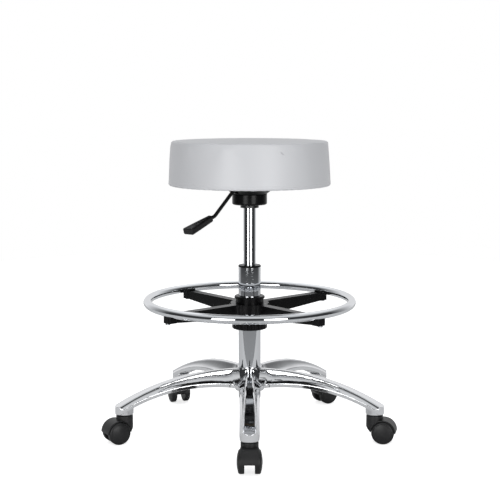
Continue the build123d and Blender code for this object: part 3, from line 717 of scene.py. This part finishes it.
class STOOL_OT_seat_cover(bpy.types.Operator):
    """Upholster the seat: a stuffed vinyl cover, creased over the board's edge and gathered under it"""

    bl_idname = "stool.seat_cover"
    bl_label = "Seat cover"

    def execute(self, context):
        seat = context.scene.stool_seat
        outline = seat_outline(seat)
        hollow = seat_hollow(seat)
        mesh = revolved("seat_cover", outline + hollow, seat_high.z, hollow[-1].y, SEAT_AROUND)
        cover = new_piece(
            "seat_cover", mesh, "seat", expanded_vinyl(context.scene.stool_colours.vinyl)
        )
        self.fill(seat, cover)
        cover.vertex_groups.clear()
        finished = subdivided(cover.data, 2)
        self.crease(seat, finished)
        cover.data = finished
        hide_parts("seat_cushion")
        return {"FINISHED"}

    def fill(self, seat, cover):
        """Hold the cover round the board, draw the rest in by the swell and let the foam push it out."""
        points = points_of(cover.data)
        radius = np.hypot(points[:, 0], points[:, 1])
        hem = seat_low.z + seat.bottom_corner + 0.004
        over_board = board_high.z + 0.01
        skin = seat_high.x - 0.01
        held = points[:, 2] < hem
        held |= (points[:, 2] < over_board) & (radius < skin)
        inset = np.where(held, 0, seat.swell)[:, None]
        normals = np.array([vertex.normal for vertex in cover.data.vertices])
        set_points(cover.data, points - normals * inset)
        stuff(cover, held, seat.swell)

    def crease(self, seat, mesh):
        """Press the crease into the finished cover, and the gathers into its turned-in edge."""
        fold_width, edge_margin = 0.0016, 0.004
        points = points_of(mesh)
        angle = np.arctan2(points[:, 1], points[:, 0])
        radius = np.hypot(points[:, 0], points[:, 1])
        above = points[:, 2] - seat_low.z
        outside = radius > board_high.x + edge_margin
        line = np.exp(-((above - seat.fold_height) / fold_width) ** 2)
        pull = seat.fold_depth * line * outside
        wander = 2.1 * np.sin(5 * angle)
        odd_pleats = 0.6 * np.sin(31 * angle + 1.3)
        ripple = np.sin(seat.gathers * angle + wander) + odd_pleats
        pleats = seat.gather_depth * np.clip(ripple, 0, 1.6) * 0.6
        underneath = above < 0.0008
        past_cloth = radius > cloth_high.x - 0.002
        inside_edge = radius < seat_high.x - 0.003
        scale = (radius - pull) / np.maximum(radius, 1e-9)
        points[:, 0] *= scale
        points[:, 1] *= scale
        points[:, 2] += np.where(underneath & past_cloth & inside_edge, pleats, 0)
        set_points(mesh, points)


def staple_ring(build, radius, height, count, wire, width):
    """Press a ring of wire staples into the underside of the seat, none quite even or straight."""
    leg, stand = wire * 1.5, wire * 0.5
    for number in range(count):
        stagger = 0.3 * math.sin(number * 1.7)
        skew = 0.25 * math.sin(number * 2.3)
        angle = 2 * math.pi * (number + stagger) / count
        middle = Vector((radius * math.cos(angle), radius * math.sin(angle), height))
        across = Vector((-math.sin(angle), math.cos(angle), 0))
        across.rotate(Matrix.Rotation(skew, 3, "Z"))
        up = Vector((0, 0, 1))
        side = across.cross(up)
        route = [
            middle - across * width / 2 + up * leg,
            middle - across * width / 2,
            middle - across * (width / 2 - wire) - up * stand,
            middle + across * (width / 2 - wire) - up * stand,
            middle + across * width / 2,
            middle + across * width / 2 + up * leg,
        ]
        loops = []
        for place, ahead in zip(route, route[1:] + route[-1:]):
            along = (ahead - place) if ahead != place else up
            flank = side * wire / 2
            lift = along.normalized().cross(side) * wire / 2
            corners = (flank + lift, lift - flank, -flank - lift, flank - lift)
            loops.append([build.verts.new(place + corner) for corner in corners])
        for loop, following in zip(loops, loops[1:]):
            for corner in range(4):
                after = (corner + 1) % 4
                build.faces.new((loop[corner], loop[after], following[after], following[corner]))


class STOOL_OT_dust_cloth(bpy.types.Operator):
    """Close the underside with a stapled dust cloth"""

    bl_idname = "stool.dust_cloth"
    bl_label = "Dust cloth"

    def execute(self, context):
        colours = context.scene.stool_colours
        seat = context.scene.stool_seat
        cloth = self.cloth(spunbond_cloth(colours.cloth), seat.cloth_staples)
        mesh = bpy.data.meshes.new("staples")
        build = bmesh.new()
        cloth_row = cloth_high.x - 0.006
        cover_row = (cloth_high.x + board_high.x) / 2 + 0.002
        wire, width = seat.staple_wire, seat.staple_width
        staple_ring(build, cloth_row, cloth_low.z, seat.cloth_staples, wire, width)
        staple_ring(build, cover_row, seat_low.z, seat.cover_staples, wire, width)
        bmesh.ops.recalc_face_normals(build, faces=build.faces)
        build.to_mesh(mesh)
        build.free()
        staples = new_piece("cover_staples", mesh, "seat", zinc_plate(colours.zinc))
        return {"FINISHED"}

    def cloth(self, material, staples):
        """A round cloth with a square window for the seat plate, puckered between its staples."""
        plate_gap, hem, scallop = 0.0025, 0.0005, 0.0012
        pucker_height, sag, corner_cut = 0.0004, 0.0003, 1.33
        lever = next(joint for joint in frame["joints"] if joint["name"] == "lever_tilt")
        turn = math.atan2(lever["pos_m"][1], lever["pos_m"][0])
        plate = points_of(frame["nodes"]["seat_plate"].data)
        window = np.max(plate[:, 0] * math.cos(turn) + plate[:, 1] * math.sin(turn)) + plate_gap
        around, steps = 204, 9
        height = (cloth_low.z + cloth_high.z) / 2
        mesh = bpy.data.meshes.new("dust_cloth")
        build = bmesh.new()
        rings = []
        for step in range(steps + 1):
            share = step / steps
            ring = []
            for number in range(around):
                angle = 2 * math.pi * number / around
                side = window / max(abs(math.cos(angle - turn)), abs(math.sin(angle - turn)))
                inner = min(side, window * corner_cut)
                rim = cloth_high.x - hem - scallop * math.sin(staples / 2 * angle) ** 2
                radius = inner + (rim - inner) * share
                pucker = pucker_height * math.cos(staples * angle) * share ** 2
                level = height + pucker - sag * math.sin(math.pi * share)
                ring.append(build.verts.new((radius * math.cos(angle), radius * math.sin(angle), level)))
            rings.append(ring)
        for inner_ring, outer_ring in zip(rings, rings[1:]):
            for number in range(around):
                after = (number + 1) % around
                corners = (inner_ring[number], inner_ring[after], outer_ring[after], outer_ring[number])
                build.faces.new(corners).smooth = True
        build.to_mesh(mesh)
        build.free()
        piece = new_piece("dust_cloth", mesh, "seat", material)
        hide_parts("dust_cover")
        return piece


class STOOL_OT_tubes(bpy.types.Operator):
    """Plate the column, the piston tube and the foot ring, and polish the star base"""

    bl_idname = "stool.tubes"
    bl_label = "Chrome and polish"

    def execute(self, context):
        colours = context.scene.stool_colours
        dress(chrome_plate(colours.chrome), "column_tube", "lift_cylinder", "foot_ring")
        dress(polished_aluminium(colours.aluminium), "star_base")
        return {"FINISHED"}


class STOOL_OT_mouldings(bpy.types.Operator):
    """Finish the black mouldings of the foot ring, the mechanism and the lever"""

    bl_idname = "stool.mouldings"
    bl_label = "Black mouldings"

    def execute(self, context):
        colours = context.scene.stool_colours
        nylon = moulded_plastic(
            "moulded_glass_filled_nylon", colours.nylon, gloss=0.24, texture_mm=0.8, shine=0.14
        )
        grip = moulded_plastic(
            "moulded_polypropylene", colours.polypropylene, gloss=0.34, texture_mm=1.2, shine=0.3
        )
        dress(nylon, "ring_spider", "clamp_collet", "clamp_nut", "guide_bush", "mechanism_cup")
        dress(grip, "lever_grip")
        return {"FINISHED"}


class STOOL_OT_steelwork(bpy.types.Operator):
    """Coat the seat plate and lever, zinc the inner steel and fasteners, and finish the board"""

    bl_idname = "stool.steelwork"
    bl_label = "Steel and board"

    def execute(self, context):
        colours = context.scene.stool_colours
        dress(powder_coat(colours.powder), "seat_plate", "lever_rod", "taper_socket")
        dress(birch_plywood(colours.birch), "seat_board")
        steel = [row["node"] for row in frame["record"]["subparts"] if row["material_slot"] == "plain_steel"]
        dress(zinc_plate(colours.zinc), *steel)
        return {"FINISHED"}


class STOOL_OT_casters(bpy.types.Operator):
    """Finish the wheels and hoods of the five casters"""

    bl_idname = "stool.casters"
    bl_label = "Casters"

    def execute(self, context):
        colour = context.scene.stool_colours.caster
        hood = moulded_plastic("moulded_caster_nylon", colour, gloss=0.4, texture_mm=0.9, shine=0.4)
        wheel = moulded_plastic("turned_nylon_wheel", colour, gloss=0.38, texture_mm=0.5, shine=0.35)
        for place in PLACES:
            dress(hood, f"caster_hood_{place}")
            dress(wheel, f"wheel_left_{place}", f"wheel_right_{place}")
        return {"FINISHED"}


# Greys of the room from front (-1) to back (1): dim beside the stool, pale where the sweep rises behind it
ROOM_TONES = ((-1, "#333435"), (0.1, "#3C3D3E"), (0.45, "#A0A1A2"), (0.82, "#F0F0F1"), (1, "#E8E8E9"))
# What the ceiling adds, from the floor (-1) to straight up (1)
CEILING_TONES = (
    (-0.3, "#A4A5A6"),
    (-0.2, "#8A8B8C"),
    (-0.14, "#000000"),
    (0.48, "#000000"),
    (0.78, "#D0D1D2"),
    (1, "#D8D9DA"),
)


def softbox(name, place, aim, size, watts):
    """An area light of a width and height, turned to what it lights."""
    light = bpy.data.lights.new(name, "AREA")
    light.shape = "RECTANGLE"
    light.size, light.size_y = size
    light.energy = watts
    lamp = bpy.data.objects.new(name, light)
    lamp.location = place
    lamp.rotation_euler = (Vector(aim) - Vector(place)).to_track_quat("-Z", "Y").to_euler()
    bpy.context.scene.collection.objects.link(lamp)


class STOOL_OT_stage(bpy.types.Operator):
    """Set the pale floor, the soft lights, the surroundings and the camera"""

    bl_idname = "stool.stage"
    bl_label = "Studio"

    def execute(self, context):
        studio = context.scene.stool_studio
        self.floor(studio)
        self.surroundings(context.scene)
        for name, side in (("left_softbox", -1), ("right_softbox", 1)):
            softbox(
                name,
                (side * studio.box_aside, -studio.box_ahead, studio.box_middle),
                (0, 0, studio.box_middle),
                (studio.box_width, studio.box_height),
                studio.side_light,
            )
        view = bpy.data.cameras.new("front_view")
        view.lens = studio.lens
        view.shift_x = studio.aside
        camera = bpy.data.objects.new("front_view", view)
        camera.location = (0, -studio.distance, studio.height)
        camera.rotation_euler = (math.pi / 2 - studio.pitch, 0, 0)
        context.scene.collection.objects.link(camera)
        context.scene.camera = camera
        context.scene.view_settings.view_transform = "Standard"
        return {"FINISHED"}

    def floor(self, studio):
        """A round pale floor under the casters."""
        mesh = bpy.data.meshes.new("floor")
        build = bmesh.new()
        bmesh.ops.create_circle(build, cap_ends=True, segments=160, radius=studio.floor_radius)
        build.to_mesh(mesh)
        build.free()
        mesh.materials.append(studio_floor())
        piece = bpy.data.objects.new("floor", mesh)
        piece.location.y = studio.floor_shift
        bpy.context.scene.collection.objects.link(piece)

    def surroundings(self, scene):
        """A white sweep behind the stool, and the dim room round it that the chrome mirrors."""
        world = bpy.data.worlds.new("studio_room")
        scene.world = world
        world.use_nodes = True
        tree = world.node_tree
        tree.nodes.clear()
        place = add_node(tree, "ShaderNodeTexCoord")
        parts = add_node(tree, "ShaderNodeSeparateXYZ", {"Vector": place.outputs["Generated"]})
        room = self.tones(tree, parts.outputs["Y"], ROOM_TONES)
        ceiling = self.tones(tree, parts.outputs["Z"], CEILING_TONES)
        both = add_node(
            tree,
            "ShaderNodeMix",
            {SHARE: 1, FIRST: room.outputs["Color"], SECOND: ceiling.outputs["Color"]},
            data_type="RGBA",
            blend_type="ADD",
        )
        glow = add_node(tree, "ShaderNodeBackground", {"Color": both.outputs[MIXED], "Strength": 1})
        white = solid_colour(linear("#FFFFFF"))
        sweep = add_node(tree, "ShaderNodeBackground", {"Color": white, "Strength": 1})
        rays = add_node(tree, "ShaderNodeLightPath")
        seen = add_node(
            tree,
            "ShaderNodeMixShader",
            {0: rays.outputs["Is Camera Ray"], 1: glow.outputs["Background"], 2: sweep.outputs["Background"]},
        )
        add_node(tree, "ShaderNodeOutputWorld", {"Surface": seen.outputs["Shader"]})

    def tones(self, tree, part, stops):
        """Greys that change with one part of a direction, given at that part's values from -1 to 1."""
        share = add_node(tree, "ShaderNodeMapRange", {"Value": part, "From Min": -1, "From Max": 1})
        ramp = add_node(tree, "ShaderNodeValToRGB", {"Fac": share.outputs["Result"]})
        elements = ramp.color_ramp.elements
        while len(elements) < len(stops):
            elements.new(1)
        for element, (value, tone) in zip(elements, stops):
            element.position = (value + 1) / 2
            element.color = solid_colour(linear(tone))
        return ramp


class STOOL_PT_sidebar(bpy.types.Panel):
    """Lists the stool's steps, sizes and colours"""

    bl_idname = "STOOL_PT_sidebar"
    bl_label = "Drafting stool"
    bl_space_type = "VIEW_3D"
    bl_region_type = "UI"
    bl_category = "Stool"

    def draw(self, context):
        for operator in OPERATORS:
            self.layout.operator(operator.bl_idname)
        for group in (context.scene.stool_seat, context.scene.stool_colours, context.scene.stool_studio):
            box = self.layout.box()
            for name in group.__annotations__:
                box.prop(group, name)


GROUPS = {"stool_colours": StoolColours, "stool_seat": StoolSeat, "stool_studio": StoolStudio}
OPERATORS = (
    STOOL_OT_stage,
    STOOL_OT_seat_cover,
    STOOL_OT_dust_cloth,
    STOOL_OT_tubes,
    STOOL_OT_mouldings,
    STOOL_OT_steelwork,
    STOOL_OT_casters,
)


def register():
    for name, group in GROUPS.items():
        bpy.utils.register_class(group)
        setattr(bpy.types.Scene, name, bpy.props.PointerProperty(type=group))
    for kind in (*OPERATORS, STOOL_PT_sidebar):
        bpy.utils.register_class(kind)


def unregister():
    for kind in reversed((*OPERATORS, STOOL_PT_sidebar)):
        bpy.utils.unregister_class(kind)
    for name, group in GROUPS.items():
        delattr(bpy.types.Scene, name)
        bpy.utils.unregister_class(group)


def main():
    """Register the add-on and run its steps."""
    register()
    bpy.ops.stool.stage()
    bpy.ops.stool.seat_cover()
    bpy.ops.stool.dust_cloth()
    bpy.ops.stool.tubes()
    bpy.ops.stool.mouldings()
    bpy.ops.stool.steelwork()
    bpy.ops.stool.casters()


if __name__ == "__main__":
    main()
